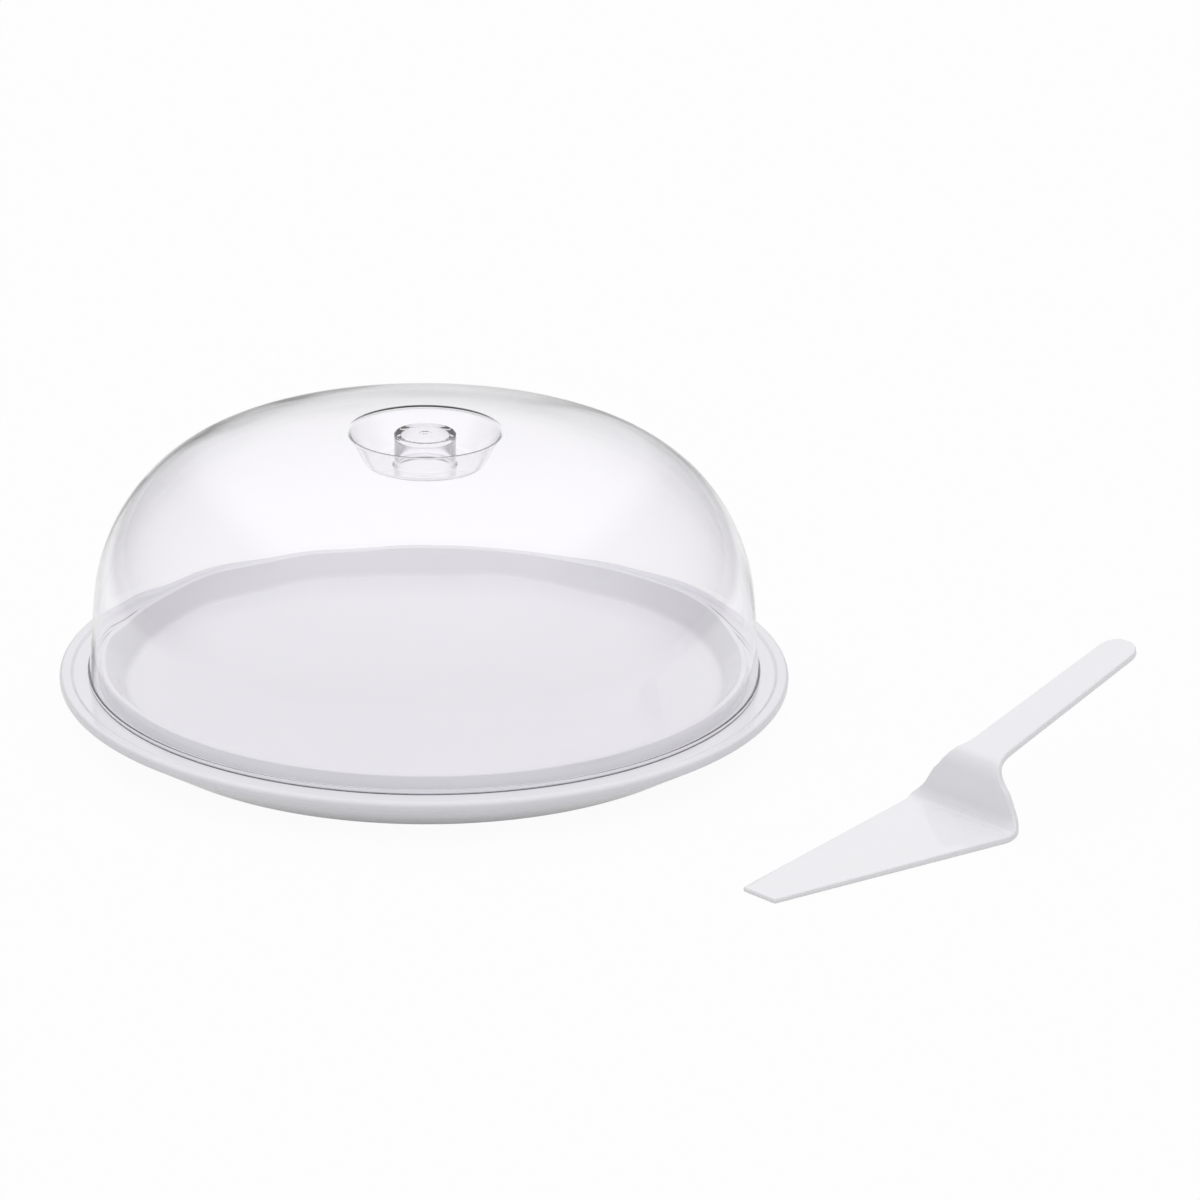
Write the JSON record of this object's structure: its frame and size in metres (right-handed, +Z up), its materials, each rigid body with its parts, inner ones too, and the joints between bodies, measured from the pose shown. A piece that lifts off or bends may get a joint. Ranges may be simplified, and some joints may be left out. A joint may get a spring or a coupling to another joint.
{
  "type": "cake cover",
  "caption": "Clear plastic dome with a knob sunk in a round well, standing on the ledge of a round white cake plate, with a white cake server beside it.",
  "frame": {"origin": "on the plate's axis at the level of the table that its foot and the server stand on", "axes": "+Z up along the axis of plate and dome; +X towards the side where the server lies; -Y towards the viewer of the picture"},
  "size_m": [0.4959, 0.4038, 0.1378],
  "materials": {
    "white_plastic_plate": "glossy moulded white",
    "clear_plastic": "clear, polished mould",
    "white_plastic_server": "glossy moulded white"
  },
  "bodies": {
    "plate": {"cake_plate": "white_plastic_plate"},
    "dome": {"dome_cover": "clear_plastic"},
    "server": {"cake_server": "white_plastic_server"}
  },
  "joints": [
    {"name": "dome_lift", "type": "slide", "parent": "plate", "child": "dome", "axis": [0, 0, 1], "range_m": [0, 0.2]},
    {"name": "server_lift", "type": "slide", "parent": "plate", "child": "server", "axis": [0, 0, 1], "range_m": [0, 0.15]}
  ]
}
